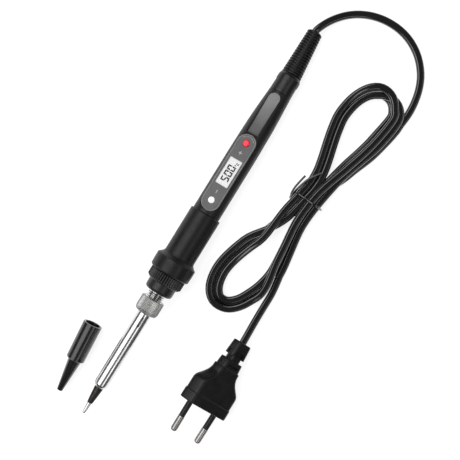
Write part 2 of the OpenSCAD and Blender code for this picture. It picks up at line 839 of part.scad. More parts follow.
module protective_cap() {
    bore_r = 4.5;
    color("#0f0f10") part() translate([cap_mouth[0], cap_mouth[1], cap_r * cos(cap_pitch)])
        rotate([0, cap_pitch, 180 + cap_turn]) difference() {
            turned([
                [0, 0], [0, cap_r - 0.3], [0.3, cap_r], [cap_body_l, cap_step_r],
                [cap_body_l + 0.5, cap_step_r - 0.5], [cap_body_l + 0.7, 4], [cap_l - 0.7, 1.9],
                [cap_l, 1.3], [cap_l, 0]
            ]);
            bar([-1, 22.4], bore_r);
            turned([[22, 0], [22, 2.8], [40.8, 0.9], [40.8, 0]]);
        }
}

// ---------------------------------------------------------------- nodes

soldering_tip();
barrel_tube();
barrel_nut();
threaded_nipple();
ceramic_heater();
heater_bush();
locking_collar();
rubber_grip();
handle_top_shell();
handle_bottom_shell();
front_panel();
display_window();
display_cell();
display_pins();
minus_button();
plus_button();
minus_plunger();
plus_plunger();
minus_switch();
plus_switch();
label_inlay();
circuit_board();
control_chip();
power_triac();
film_capacitor();
heater_leads();
cable_clamp();
clamp_screws();
cord_cores();
rear_collar();
strain_relief_boot();
inner_cord();
cord_from_handle();
cord_hank();
cord_to_plug();
twist_tie();
plug_body();
plug_pins();
pin_sleeves();
protective_cap();
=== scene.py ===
"""Looks of a temperature-controlled soldering iron, with its cord in a tied hank, its plug and its cap.

Every piece but the cord and its tie is made in millimetres in the local frame of what it belongs to
(the iron, its boot, the plug or the cap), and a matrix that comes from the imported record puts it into
the row frame. The cord and the tie are made in metres from the end of the tip, as in part.scad.
"""

import json
import math

import bmesh
import bpy
from mathutils import Matrix, Vector


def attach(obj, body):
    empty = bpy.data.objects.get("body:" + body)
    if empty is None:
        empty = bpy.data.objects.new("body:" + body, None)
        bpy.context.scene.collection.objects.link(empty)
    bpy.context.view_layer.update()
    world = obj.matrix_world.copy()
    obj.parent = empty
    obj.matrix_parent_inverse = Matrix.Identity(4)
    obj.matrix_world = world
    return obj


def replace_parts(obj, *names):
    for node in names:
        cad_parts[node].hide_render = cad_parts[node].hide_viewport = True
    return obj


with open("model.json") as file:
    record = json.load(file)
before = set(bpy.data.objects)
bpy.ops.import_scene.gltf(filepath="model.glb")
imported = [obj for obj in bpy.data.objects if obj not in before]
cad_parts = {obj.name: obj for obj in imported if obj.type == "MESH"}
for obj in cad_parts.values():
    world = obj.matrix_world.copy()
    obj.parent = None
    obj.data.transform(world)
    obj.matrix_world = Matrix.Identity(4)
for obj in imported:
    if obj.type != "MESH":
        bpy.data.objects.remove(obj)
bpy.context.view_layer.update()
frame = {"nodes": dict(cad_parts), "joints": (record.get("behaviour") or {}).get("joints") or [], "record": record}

MM = 0.001
RECORD = frame["record"]
JOINTS = {j["name"]: j for j in frame["joints"]}
MOUNTS = {m["name"]: m for m in RECORD["mounts"]}
BODY_OF = {n: b for b, ns in RECORD["behaviour"]["bodies"].items() for n in ns}
SLOT_OF = {s["node"]: s["material_slot"] for s in RECORD["subparts"]}
UP = Vector((0, 0, 1))


# ------------------------------------------------------------------------- local frames

def axes_at(x, y, z, origin):
    """The matrix of a local frame, from its three axes and its origin in the row frame."""
    m = Matrix((x, y, z)).transposed().to_4x4()
    m.translation = origin
    return m


def moved(x=0.0, y=0.0, z=0.0):
    """A shift in millimetres."""
    return Matrix.Translation(Vector((x, y, z)) * MM)


def turned(degrees, axis):
    return Matrix.Rotation(math.radians(degrees), 4, axis)


BARREL_MOUNT_AT = 43.5         # how far the barrel mount's point is from the end of the tip
iron_x = -Vector(JOINTS["barrel_slide"]["axis"]).normalized()
iron_z = -Vector(JOINTS["minus_press"]["axis"]).normalized()
tip_end = Vector(MOUNTS["barrel"]["pos_m"]) - iron_x * BARREL_MOUNT_AT * MM
IRON = axes_at(iron_x, iron_z.cross(iron_x), iron_z, tip_end)

ROLL = math.degrees(math.asin(iron_z.y))
BOOT_BENDS_AT = 225            # the station where the boot turns aside, at the back of the collar
BOOT_GAP = 0.4
BOOT_BEND = -2.5
BOOT = IRON @ turned(ROLL, "X") @ moved(BOOT_BENDS_AT) @ turned(-BOOT_BEND, "Z") @ moved(BOOT_GAP)

plug_x = -Vector(MOUNTS["plug_face"]["axis"]).normalized()
plug_y = (Vector(MOUNTS["plug_pin_far"]["pos_m"]) - Vector(MOUNTS["plug_pin_near"]["pos_m"])).normalized()
PLUG = axes_at(plug_x, plug_y, plug_x.cross(plug_y), Vector(MOUNTS["plug_face"]["pos_m"]))

CAP_MOUTH = (0.0437, 0.02265, 0.00575)   # in metres from the end of the tip
CAP_TURN = 184.4
CAP_PITCH = 0.63


def from_tip(p):
    """A point that part.scad counts in plan from the end of the tip, in the row frame."""
    return Vector((tip_end.x + p[0], tip_end.y + p[1], p[2] if len(p) > 2 else 0))


CAP = Matrix.Translation(from_tip(CAP_MOUTH)) @ turned(CAP_TURN, "Z") @ turned(CAP_PITCH, "Y")


# ------------------------------------------------------------------------- camera

# The camera looks squarely at the iron: how far along it and beside it, and from how far away
CAMERA_AT = (0.1323, -0.01644, 0.4436)
CAMERA_TURN = 31.66           # the iron's angle from the upright in the picture
CAMERA_LENS = 61
CAMERA_NEAR = 0.01


def make_camera():
    data = bpy.data.cameras.new("camera")
    data.lens = CAMERA_LENS
    data.clip_start = CAMERA_NEAR
    camera = bpy.data.objects.new("camera", data)
    bpy.context.scene.collection.objects.link(camera)
    beside = Vector((0, 1, 0))
    view = axes_at(iron_x, beside, iron_x.cross(beside), tip_end)
    camera.matrix_world = view @ Matrix.Translation(CAMERA_AT) @ turned(CAMERA_TURN - 90, "Z")
    bpy.context.scene.camera = camera


make_camera()


# ------------------------------------------------------------------------- curves and meshes

STRAIGHT_ENOUGH = math.radians(12)    # a corner that turns by less stays as it is
EASE_REACH = 0.45                     # how much of an edge a rounded corner may use
ON_AXIS = 1e-6
WELD = 0.001 * MM
WELD_CUT = 0.002 * MM


def spline_point(a, b, c, d, t):
    """The Catmull-Rom point between b and c."""
    return ((2 * b) + (c - a) * t + (2 * a - 5 * b + 4 * c - d) * t * t
            + (3 * b - a - 3 * c + d) * t * t * t) / 2


def open_curve(points, steps):
    p = [Vector(q) for q in points]
    last = len(p) - 1
    out = [
        spline_point(p[max(i - 1, 0)], p[i], p[i + 1], p[min(i + 2, last)], k / steps)
        for i in range(last) for k in range(steps)
    ]
    return out + [p[last]]


def closed_point(points, s):
    """The point of a closed curve at s, counted in its own points."""
    n = len(points)
    i = math.floor(s)
    a, b, c, d = (Vector(points[(i + k) % n]) for k in (-1, 0, 1, 2))
    return spline_point(a, b, c, d, s - i)


def keyed(keys, s):
    """A value that turns smoothly from each (place, value) key to the next."""
    if s <= keys[0][0]:
        return keys[0][1]
    for (a, u), (b, v) in zip(keys, keys[1:]):
        if s <= b:
            t = (s - a) / (b - a)
            return u + (v - u) * t * t * (3 - 2 * t)
    return keys[-1][1]


def eased(points, radius, steps=3, closed=False):
    """A profile with each of its corners cut to an arc of about that radius."""
    n = len(points)
    out = []
    for i, p in enumerate(points):
        p = Vector(p)
        if not closed and i in (0, n - 1):
            out.append(tuple(p))
            continue
        a, b = Vector(points[i - 1]) - p, Vector(points[(i + 1) % n]) - p
        bend = math.pi - a.angle(b)
        if bend < STRAIGHT_ENOUGH:
            out.append(tuple(p))
            continue
        reach = min(radius * math.tan(bend / 2), EASE_REACH * a.length, EASE_REACH * b.length)
        start, end = p + a.normalized() * reach, p + b.normalized() * reach
        for k in range(steps + 1):
            t = k / steps
            out.append(tuple(start.lerp(p, t).lerp(p.lerp(end, t), t)))
    return out


def skin(rings, closed=False):
    """A surface through rings of points. Its ends are flat, or a ring of one point closes an end."""
    bm = bmesh.new()
    made = [[bm.verts.new(p) for p in ring] for ring in rings]
    pairs = list(zip(made, made[1:])) + ([(made[-1], made[0])] if closed else [])
    for a, b in pairs:
        n = max(len(a), len(b))
        for k in range(n):
            corners = [a[k % len(a)], a[(k + 1) % len(a)], b[(k + 1) % len(b)], b[k % len(b)]]
            face = list(dict.fromkeys(corners))
            if len(face) > 2:
                bm.faces.new(face)
    if not closed:
        for ring in (made[0], made[-1]):
            if len(ring) > 2:
                bm.faces.new(ring)
    bmesh.ops.recalc_face_normals(bm, faces=bm.faces)
    return bm


def lathe(profile, sides=96, shape=None, closed=False):
    """A solid of revolution about X, from (along, radius) points. shape(x, r, angle) gives another radius."""
    rings = []
    for x, r in profile:
        if r < ON_AXIS:
            rings.append([Vector((x, 0, 0)) * MM])
            continue
        ring = []
        for k in range(sides):
            a = 2 * math.pi * k / sides
            q = shape(x, r, a) if shape else r
            ring.append(Vector((x, q * math.cos(a), q * math.sin(a))) * MM)
        rings.append(ring)
    return skin(rings, closed=closed)


def tube(profile, ease=0.15, **options):
    """A lathe whose profile is a closed outline, with its corners eased."""
    return lathe(eased(profile, ease, closed=True), closed=True, **options)


def sweep(path, section, level=True):
    """A tube along a path, with flat ends, from a section of (sideways, up) offsets.

    Its sides stay level, or else it follows the path with no twist.
    """
    rings = []
    side = None
    for i, p in enumerate(path):
        ahead = (path[min(i + 1, len(path) - 1)] - path[max(i - 1, 0)]).normalized()
        if level or side is None:
            side = ahead.cross(UP)
            if side.length < 1e-3:
                side = ahead.cross(Vector((1, 0, 0)))
        side = (side - ahead * side.dot(ahead)).normalized()
        up = side.cross(ahead)
        rings.append([p + side * u + up * v for u, v in section])
    return skin(rings)


def round_section(radius, sides=12):
    turn = 2 * math.pi / sides
    return [(radius * math.cos(turn * k), radius * math.sin(turn * k)) for k in range(sides)]


def arc(cx, cy, r, start, end, steps):
    """Points round a centre, from one angle to another in degrees."""
    angles = [math.radians(start + (end - start) * k / steps) for k in range(steps + 1)]
    return [(cx + r * math.cos(a), cy + r * math.sin(a)) for a in angles]


def stadium(x0, x1, width, steps=24):
    r = width / 2
    return arc(x0 + r, 0, r, 90, 270, steps) + arc(x1 - r, 0, r, -90, 90, steps)


def rectangle(cx, cy, w, h):
    return [(cx + sx * w / 2, cy + sy * h / 2) for sx, sy in ((-1, -1), (1, -1), (1, 1), (-1, 1))]


def plate(outlines, z0, z1, bevel=0.0):
    """A flat plate from outlines in plan, the later ones being holes, with bevelled edges."""
    data = bpy.data.curves.new("outline", "CURVE")
    data.dimensions = "2D"
    data.fill_mode = "BOTH"
    data.extrude = ((z1 - z0) / 2 - bevel) * MM
    data.bevel_depth = bevel * MM
    data.bevel_resolution = 2
    data.offset = -bevel * MM
    for outline in outlines:
        spline = data.splines.new("POLY")
        spline.points.add(len(outline) - 1)
        for point, (x, y) in zip(spline.points, outline):
            point.co = (x * MM, y * MM, 0, 1)
        spline.use_cyclic_u = True
    holder = bpy.data.objects.new("outline", data)
    mesh = bpy.data.meshes.new_from_object(holder)
    bm = bmesh.new()
    bm.from_mesh(mesh)
    bmesh.ops.remove_doubles(bm, verts=bm.verts, dist=WELD)
    bmesh.ops.translate(bm, verts=bm.verts, vec=(0, 0, (z0 + z1) / 2 * MM))
    bmesh.ops.recalc_face_normals(bm, faces=bm.faces)
    bpy.data.objects.remove(holder)
    bpy.data.curves.remove(data)
    bpy.data.meshes.remove(mesh)
    return bm


def block(low, high):
    bm = bmesh.new()
    bmesh.ops.create_cube(bm, size=1)
    low, high = Vector(low) * MM, Vector(high) * MM
    for v in bm.verts:
        v.co = Vector((low[k] if v.co[k] < 0 else high[k] for k in range(3)))
    return bm


def join(*parts):
    """One mesh with all the parts in it."""
    bm = bmesh.new()
    for part in parts:
        mesh = bpy.data.meshes.new("part")
        part.to_mesh(mesh)
        bm.from_mesh(mesh)
        bpy.data.meshes.remove(mesh)
    return bm


def placed(bm, matrix):
    bmesh.ops.transform(bm, matrix=matrix, verts=bm.verts)
    return bm


def cut(bm, *cutters):
    """The mesh with each cutter taken out of it."""
    made = []
    for part in (bm, *cutters):
        mesh = bpy.data.meshes.new("cut")
        part.to_mesh(mesh)
        part.free()
        holder = bpy.data.objects.new("cut", mesh)
        bpy.context.scene.collection.objects.link(holder)
        made.append(holder)
    for cutter in made[1:]:
        modifier = made[0].modifiers.new("cut", "BOOLEAN")
        modifier.solver = "EXACT"
        modifier.object = cutter
    ready = made[0].evaluated_get(bpy.context.evaluated_depsgraph_get())
    out = bmesh.new()
    out.from_mesh(ready.to_mesh())
    ready.to_mesh_clear()
    for holder in made:
        mesh = holder.data
        bpy.data.objects.remove(holder)
        bpy.data.meshes.remove(mesh)
    bmesh.ops.remove_doubles(out, verts=out.verts, dist=WELD_CUT)
    return out


# ------------------------------------------------------------------------- materials

DULL_PATCH = 0.82              # how dark a patch is beside the rest of the metal
DARK_SPECK = 0.85


class Paint:
    """A material with a principled shader, and short calls that add nodes to it."""

    def __init__(self, name, color, roughness, metallic=0.0, **constants):
        self.material = bpy.data.materials.new(name)
        self.material.use_nodes = True
        self.material.diffuse_color = (*color, 1)
        self.tree = self.material.node_tree
        self.shader = self.tree.nodes["Principled BSDF"]
        self.set("Base Color", (*color, 1))
        self.set("Roughness", roughness)
        self.set("Metallic", metallic)
        for socket, value in constants.items():
            self.set(socket.replace("_", " "), value)
        self.place = self.node("ShaderNodeTexCoord").outputs["Object"]

    def set(self, socket, value):
        target = self.shader.inputs[socket]
        if isinstance(value, bpy.types.NodeSocket):
            self.tree.links.new(value, target)
        else:
            target.default_value = value

    def node(self, kind, inputs=None, **settings):
        """Adds a node; inputs maps its sockets, by name or number, to values or to other sockets."""
        made = self.tree.nodes.new(kind)
        for key, value in settings.items():
            setattr(made, key, value)
        for key, value in (inputs or {}).items():
            if isinstance(value, bpy.types.NodeSocket):
                self.tree.links.new(value, made.inputs[key])
            else:
                made.inputs[key].default_value = value
        return made

    def along(self, matrix, stretch=(1, 1, 1)):
        """Coordinates in millimetres in a local frame, squeezed along each of its axes."""
        inverse = matrix.inverted()
        mapping = self.node("ShaderNodeMapping", {"Vector": self.place})
        mapping.inputs["Location"].default_value = inverse.translation / MM
        mapping.inputs["Rotation"].default_value = inverse.to_euler("XYZ")
        mapping.inputs["Scale"].default_value = (1 / MM,) * 3
        squeezed = self.node("ShaderNodeMapping", {"Vector": mapping.outputs["Vector"]})
        squeezed.inputs["Scale"].default_value = stretch
        return squeezed.outputs["Vector"]

    def noise(self, size_mm, detail=2.0, vector=None, rough=0.5):
        """Noise whose features are about that size."""
        own = vector is None
        scale = 1 / (size_mm * MM) if own else 1 / size_mm
        made = self.node("ShaderNodeTexNoise", {
            "Vector": self.place if own else vector, "Scale": scale, "Detail": detail, "Roughness": rough,
        })
        return made.outputs["Fac"]

    def ramp(self, value, low, high, start=0.3, end=0.7):
        """Turns a value into one from low to high."""
        made = self.node("ShaderNodeMapRange", {
            "Value": value, "From Min": start, "From Max": end, "To Min": low, "To Max": high,
        })
        return made.outputs["Result"]

    def blend(self, factor, a, b):
        """A colour between two, by a factor."""
        made = self.node("ShaderNodeMix", data_type="RGBA")
        self.tree.links.new(factor, made.inputs["Factor"])
        for socket, value in ((made.inputs[6], a), (made.inputs[7], b)):
            if isinstance(value, bpy.types.NodeSocket):
                self.tree.links.new(value, socket)
            else:
                socket.default_value = (*value, 1)
        return made.outputs[2]

    def math(self, operation, *values):
        made = self.node("ShaderNodeMath", dict(enumerate(values)), operation=operation)
        return made.outputs["Value"]

    def bump(self, height, depth_mm, strength=1.0, onto=None):
        made = self.node("ShaderNodeBump", {
            "Height": height, "Distance": depth_mm * MM, "Strength": strength,
        })
        if onto is not None:
            self.tree.links.new(onto, made.inputs["Normal"])
        return made.outputs["Normal"]

    def split(self, vector):
        return self.node("ShaderNodeSeparateXYZ", {"Vector": vector}).outputs


def moulded(name, color, roughness, grain=0.35, depth=0.02, spread=0.06, tint=1.25, **constants):
    """Moulded plastic or rubber: a fine grain, a roughness that varies, and slightly lighter patches."""
    p = Paint(name, color, roughness, **constants)
    patches = p.noise(9, 4)
    light = tuple(min(1.0, c * tint) for c in color)
    p.set("Base Color", p.blend(p.ramp(patches, 0, 1), color, light))
    p.set("Roughness", p.ramp(p.noise(3.5, 5), roughness - spread, roughness + spread))
    p.set("Normal", p.bump(p.noise(grain, 3), depth, onto=p.bump(p.noise(5, 2), 0.04)))
    return p


def metal(name, color, roughness, spread=0.05, streak=(0.04, 1, 1), depth=0.004, place=IRON):
    """Bright metal with fine lines drawn along or round it and a few duller patches."""
    p = Paint(name, color, roughness, 1.0)
    lines = p.noise(0.25, 3, p.along(place, streak))
    patches = p.noise(6, 4)
    dull = tuple(c * DULL_PATCH for c in color)
    p.set("Base Color", p.blend(p.ramp(patches, 0, 1), color, dull))
    p.set("Roughness", p.math("ADD", p.ramp(lines, roughness - spread, roughness + spread),
                              p.ramp(patches, 0, spread)))
    p.set("Normal", p.bump(lines, depth))
    return p


def tip_paint():
    """The plated tip: tinned and bright at its end, and black behind a sharp line."""
    dark, brown, tinned = (0.035, 0.034, 0.033), (0.06, 0.055, 0.05), (0.72, 0.72, 0.71)
    p = Paint("tip_iron", dark, 0.4, 1.0)
    along = p.split(p.along(IRON))["X"]
    wavy = p.math("ADD", along, p.ramp(p.noise(1.2, 3), -0.3, 0.3))
    heat = p.blend(p.ramp(p.noise(2.5, 4), 0, 1), brown, dark)
    p.set("Base Color", p.blend(p.ramp(wavy, 0, 1, 6.7, 7.1), tinned, heat))
    p.set("Roughness", p.ramp(wavy, 0.2, 0.38, 6.5, 7.2))
    p.set("Normal", p.bump(p.noise(0.35, 4), 0.012))
    return p


def ceramic_paint(name, color, roughness):
    """Ceramic: matte, with a faint speckle."""
    p = Paint(name, color, roughness)
    speck = p.ramp(p.noise(0.5, 4), 0, 1, 0.55, 0.75)
    p.set("Base Color", p.blend(speck, color, tuple(c * DARK_SPECK for c in color)))
    p.set("Roughness", p.ramp(p.noise(2, 3), roughness - 0.08, roughness + 0.08))
    p.set("Normal", p.bump(p.noise(0.3, 3), 0.02))
    return p


def label_paint():
    """Printed foil, shaded lighter towards the back of the handle."""
    p = Paint("label_grey", (0.12, 0.12, 0.122), 0.35)
    along = p.split(p.along(IRON))["X"]
    shade = p.math("ADD", along, p.ramp(p.noise(6, 4), -3, 3))
    p.set("Base Color", p.blend(p.ramp(shade, 0, 1, 186, 207), (0.07, 0.07, 0.072), (0.24, 0.24, 0.245)))
    p.set("Roughness", p.ramp(p.noise(2, 4), 0.3, 0.42))
    p.set("Normal", p.bump(p.noise(0.2, 2), 0.005))
    return p


def cell_paint_with_painted_glow():
    """The display's reflective back: pale, with a faint mottle."""
    # painted glow: the cell gives off light of its own pale colour, to look brighter than the lamps make it
    p = Paint("display_cell", (0.8, 0.82, 0.8), 0.3, Emission_Strength=0.22)
    pale = p.blend(p.ramp(p.noise(4, 3), 0, 1), (0.8, 0.81, 0.79), (0.86, 0.87, 0.86))
    p.set("Base Color", pale)
    p.set("Emission Color", pale)
    p.set("Roughness", p.ramp(p.noise(1.5, 3), 0.24, 0.34))
    return p


def glass_paint():
    """A thin clear window: its own colour hardly shows, and its face is glossy."""
    p = Paint("display_glass", (0.95, 0.97, 0.96), 0.06, Alpha=0.03)
    p.set("Roughness", p.ramp(p.noise(3, 4), 0.04, 0.12))
    return p


def board_paint():
    """Solder resist over copper tracks."""
    p = Paint("board_green", (0.02, 0.16, 0.06), 0.35, Coat_Weight=0.4)
    place = p.along(IRON)
    bricks = p.node("ShaderNodeTexBrick", {
        "Vector": place, "Scale": 0.55, "Mortar Size": 0.06, "Color1": (0, 0, 0, 1), "Color2": (0, 0, 0, 1),
        "Mortar": (1, 1, 1, 1),
    })
    tracks = bricks.outputs["Fac"]
    p.set("Base Color", p.blend(tracks, (0.012, 0.1, 0.035), (0.03, 0.2, 0.08)))
    p.set("Roughness", p.ramp(p.noise(2, 3), 0.3, 0.42))
    p.set("Normal", p.bump(tracks, 0.03))
    return p


def woven_paint():
    """Glass-fibre sleeve: a fine woven pattern."""
    p = Paint("lead_sleeve", (0.72, 0.68, 0.58), 0.8)
    weave = p.node("ShaderNodeTexWave", {"Vector": p.along(IRON), "Scale": 3, "Distortion": 2}).outputs["Fac"]
    p.set("Base Color", p.blend(weave, (0.72, 0.68, 0.58), (0.5, 0.46, 0.38)))
    p.set("Roughness", p.ramp(weave, 0.7, 0.85, 0, 1))
    p.set("Normal", p.bump(weave, 0.05))
    return p


def make_paints():
    """One material for each slot of the record."""
    paints = {
        "tip_iron": tip_paint(),
        "barrel_steel": metal("barrel_steel", (0.8, 0.8, 0.81), 0.19, 0.04, (0.02, 1, 1), 0.002),
        "nut_steel": metal("nut_steel", (0.5, 0.5, 0.49), 0.38, 0.06, (1, 0.2, 0.2), 0.006),
        "nipple_steel": metal("nipple_steel", (0.8, 0.8, 0.8), 0.14, 0.04, (1, 0.05, 0.05), 0.003),
        "ceramic_white": ceramic_paint("ceramic_white", (0.85, 0.83, 0.77), 0.6),
        "collar_black": moulded("collar_black", (0.006, 0.006, 0.0063), 0.38),
        "grip_rubber": moulded("grip_rubber", (0.005, 0.005, 0.0052), 0.42, 0.25, 0.012,
                               Specular_IOR_Level=0.35),
        "handle_plastic": moulded("handle_plastic", (0.01, 0.01, 0.0107), 0.42, 0.3, 0.015,
                                  Specular_IOR_Level=0.35),
        "panel_grey": moulded("panel_grey", (0.1, 0.1, 0.103), 0.36, 0.2, 0.006, tint=1.1),
        "label_grey": label_paint(),
        "display_glass": glass_paint(),
        "display_cell": cell_paint_with_painted_glow(),
        "bare_metal": metal("bare_metal", (0.7, 0.7, 0.7), 0.25),
        # painted glow: both buttons give off light of their own colour, to look brighter than the lamps make them
        "button_white": moulded("button_white", (0.9, 0.9, 0.89), 0.28, 0.5, 0.004, tint=1.05,
                                Emission_Color=(1, 1, 1, 1), Emission_Strength=0.3),
        "button_red": moulded("button_red", (0.9, 0.015, 0.045), 0.28, 0.5, 0.004, tint=1.1,
                              Emission_Color=(1, 0.02, 0.06, 1), Emission_Strength=0.3),
        "dark_plastic": moulded("dark_plastic", (0.02, 0.02, 0.02), 0.5),
        "switch_grey": moulded("switch_grey", (0.42, 0.42, 0.42), 0.4),
        "board_green": board_paint(),
        "capacitor_orange": moulded("capacitor_orange", (0.55, 0.14, 0.02), 0.35),
        "lead_sleeve": woven_paint(),
        "core_brown": moulded("core_brown", (0.2, 0.07, 0.02), 0.35),
        "cord_black": moulded("cord_black", (0.005, 0.005, 0.0053), 0.18, 0.8, 0.004, 0.04,
                              Coat_Weight=1, Coat_Roughness=0.08, Coat_IOR=1.75, Specular_IOR_Level=0.2),
        "plug_black": moulded("plug_black", (0.006, 0.006, 0.0063), 0.36, 0.3, 0.014,
                              Specular_IOR_Level=0.35),
        "pin_nickel": metal("pin_nickel", (0.4, 0.39, 0.38), 0.26, 0.06, (0.2, 1, 1), 0.004, PLUG),
        "cap_black": moulded("cap_black", (0.003, 0.003, 0.0032), 0.26, 1.2, 0.005, 0.04,
                             Coat_Weight=0.6, Coat_Roughness=0.18),
    }
    return {slot: p.material for slot, p in paints.items()}


PAINTS = make_paints()
for name, node in frame["nodes"].items():
    node.data.materials.clear()
    node.data.materials.append(PAINTS[SLOT_OF[name]])


# ------------------------------------------------------------------------- pieces

def piece(name, bm, place, body, slot, sharp=35, bevel=0.0):
    """Makes an object from a mesh in a local frame, and lets it ride on a body."""
    bmesh.ops.transform(bm, matrix=place, verts=bm.verts)
    for f in bm.faces:
        f.smooth = True
    for e in bm.edges:
        e.smooth = e.calc_face_angle(0) < math.radians(sharp)
    mesh = bpy.data.meshes.new(name)
    bm.to_mesh(mesh)
    bm.free()
    mesh.materials.append(PAINTS[slot])
    made = bpy.data.objects.new(name, mesh)
    bpy.context.scene.collection.objects.link(made)
    if bevel:
        modifier = made.modifiers.new("edges", "BEVEL")
        modifier.width = bevel * MM
        modifier.segments = 2
        modifier.limit_method = "ANGLE"
        modifier.angle_limit = math.radians(sharp)
    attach(made, body)
    return made


def stand_in(node, bm, place, **options):
    """Makes the piece that is shown for a CAD node."""
    made = piece(node + "_look", bm, place, BODY_OF[node], SLOT_OF[node], **options)
    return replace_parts(made, node)


# ------------------------------------------------------------------------- cord

CORD_W = 0.0045
CORD_T = 0.0033
LIFT = CORD_T / 2
# The route of the cord, counted in plan from the end of the tip, in metres
FROM_HANDLE = [
    (0.25322, 0.00124, 0.00545), (0.25472, 0.00131, 0.00539), (0.258, 0.0002, 0.005),
    (0.2624, -0.0019, 0.0042), (0.2672, -0.0051, 0.0033), (0.2719, -0.0094, 0.0024),
    (0.276, -0.015, 0.0018), (0.2791, -0.0221, LIFT), (0.2807, -0.0303, LIFT), (0.2804, -0.0394, LIFT),
    (0.2778, -0.0481, LIFT), (0.2727, -0.0561, LIFT), (0.2656, -0.0624, LIFT), (0.2582, -0.0661, LIFT),
    (0.2504, -0.0681, LIFT), (0.2425, -0.0688, LIFT), (0.2345, -0.0682, LIFT),
]
# The middle line of the hank, a closed curve that starts where the cord joins it
HANK_LINE = [
    (0.2343, -0.0637), (0.2194, -0.062), (0.2084, -0.0595), (0.1961, -0.0558), (0.184, -0.0523),
    (0.1709, -0.0496), (0.1555, -0.0486), (0.1391, -0.0505), (0.1239, -0.0518), (0.1138, -0.0501),
    (0.1058, -0.0469), (0.0986, -0.0428), (0.094, -0.0371), (0.0941, -0.0304), (0.0995, -0.0257),
    (0.1082, -0.0239), (0.1174, -0.0249), (0.13, -0.0288), (0.1424, -0.0341), (0.1566, -0.0388),
    (0.1708, -0.0419), (0.1788, -0.0433), (0.1869, -0.0432), (0.1949, -0.0417), (0.204, -0.0394),
    (0.213, -0.0374), (0.222, -0.0364), (0.2324, -0.0382), (0.2402, -0.0424), (0.2442, -0.0483),
    (0.2442, -0.0553), (0.2404, -0.0608),
]
TO_PLUG = [
    (0.124, -0.055, LIFT), (0.1179, -0.056, LIFT), (0.1117, -0.0566, 0.0018), (0.1046, -0.0566, 0.0025),
    (0.0977, -0.0566, 0.0034), (0.0908, -0.0567, 0.0045), (0.08013, -0.05704, 0.00583),
    (0.07717, -0.05699, 0.00631),
]
ROUTE_STEPS = 3               # how finely the route is drawn between two of its points
HANK_STEPS = 4
TURN = len(HANK_LINE)
LEAVES_AT = 3 * TURN + 8      # three turns and the near side again, then off to the plug
# Where the tie is, on the near side and on the far side of a turn, and how long the rise over its wire is
NEAR_WAIST = 5
FAR_WAIST = 20
WAIST_HALF = 2.0
TIE_WIRE = 0.0011             # how much the cord is raised there
# Which lane the cord is in, in cord widths outwards from the middle line, by its place in the hank
LANES = [
    (0, 1.02), (1.5, 0.85), (3, 0.6), (4.8, 0), (7, -0.2), (9.5, -0.2), (12, 0), (26, 0),
    (30, -0.2), (TURN + 1, -0.78), (TURN + 2.5, -0.78), (TURN + 4.8, -0.5), (TURN + 17.4, -0.5),
    (TURN + 19.4, 0.5), (TURN + 28.6, 0.5), (TURN + 31.4, -0.28),
    (2 * TURN + 3, -0.28), (2 * TURN + 5, -0.5), (2 * TURN + 7.4, -0.5), (2 * TURN + 9.8, 0.5),
    (2 * TURN + 17.0, 0.5), (2 * TURN + 19.2, -0.5), (2 * TURN + 28.6, -0.5), (2 * TURN + 31.2, 0.5),
    (3 * TURN + 0.5, 0.5), (3 * TURN + 3, 0.25), (3 * TURN + 5, 0.5),
    (LEAVES_AT - 1.5, 0.48), (LEAVES_AT, 0.58),
]
# How high it lies, in cord thicknesses: 0 on the floor, and over one strand or two elsewhere. Strands
# that cross in the same layer run into each other, most of all at the waist.
REST = 0.93
OVER_ONE = 0.98
OVER_TWO = 1.95
LAYERS = [
    (TURN + 2, 0), (TURN + 4.2, REST), (TURN + 16, REST), (TURN + 17.6, 1 + REST), (TURN + 19, 1 + REST),
    (TURN + 20.6, REST), (TURN + 25.5, REST), (TURN + 28.4, OVER_TWO), (TURN + 31.4, OVER_TWO),
    (2 * TURN + 3, 1 + REST), (2 * TURN + 8.2, 1 + REST), (2 * TURN + 10.4, REST), (2 * TURN + 27, REST),
    (2 * TURN + 28.6, OVER_ONE), (2 * TURN + 31.2, OVER_ONE), (3 * TURN + 2, REST), (3 * TURN + 5.6, REST),
    (LEAVES_AT, 0),
]
# How much further apart the strands lie round a turn, as a share of their lanes
SPREAD = [(0, 0), (6, 0), (8, 0.22), (10.5, 0.1), (12, 0.1), (14, 0.3), (17.5, 0.3), (20, 0)]
SLOPE_STEP = 0.05             # how far each way a turn's direction is measured
VALLEY = 0.0003               # how deep the valley between the two cores is
VALLEY_SHARE = 0.55           # and how much of the cord's width it takes


def bump_at(s, centre, half):
    """1 at the centre and 0 a half width away, smooth between."""
    t = min(1.0, abs(s - centre) / half)
    return (1 - t * t) ** 2


def hank_point(s):
    """The middle of the cord at s, counted in points of the hank's middle line, over all its turns."""
    flat = closed_point(HANK_LINE, s)
    ahead = closed_point(HANK_LINE, s + SLOPE_STEP) - closed_point(HANK_LINE, s - SLOPE_STEP)
    outward = Vector((-ahead.y, ahead.x)).normalized()
    turn = s % TURN
    flat = flat + outward * keyed(LANES, s) * (1 + keyed(SPREAD, turn)) * CORD_W
    over_tie = max(bump_at(turn, waist, WAIST_HALF) for waist in (NEAR_WAIST, FAR_WAIST))
    return Vector((flat.x, flat.y, LIFT + CORD_T * keyed(LAYERS, s) + TIE_WIRE * over_tie))


def cord_route():
    start = open_curve(FROM_HANDLE, ROUTE_STEPS)
    hank = [hank_point(k / HANK_STEPS) for k in range(1, LEAVES_AT * HANK_STEPS)]
    return [from_tip(p) for p in start + hank + open_curve(TO_PLUG, ROUTE_STEPS)]


def cord_section(sides=32):
    """Two round cores side by side under one jacket, with a shallow valley between them."""
    flat = (CORD_W - CORD_T) / 2
    half = CORD_T / 2
    out = []
    for k in range(sides):
        a = 2 * math.pi * (k + 0.5) / sides
        u = half * math.cos(a) + math.copysign(flat, math.cos(a))
        dip = VALLEY * bump_at(u, 0, VALLEY_SHARE * CORD_W / 2)
        v = math.sin(a) * (half - dip)
        out.append((u, v))
    return out


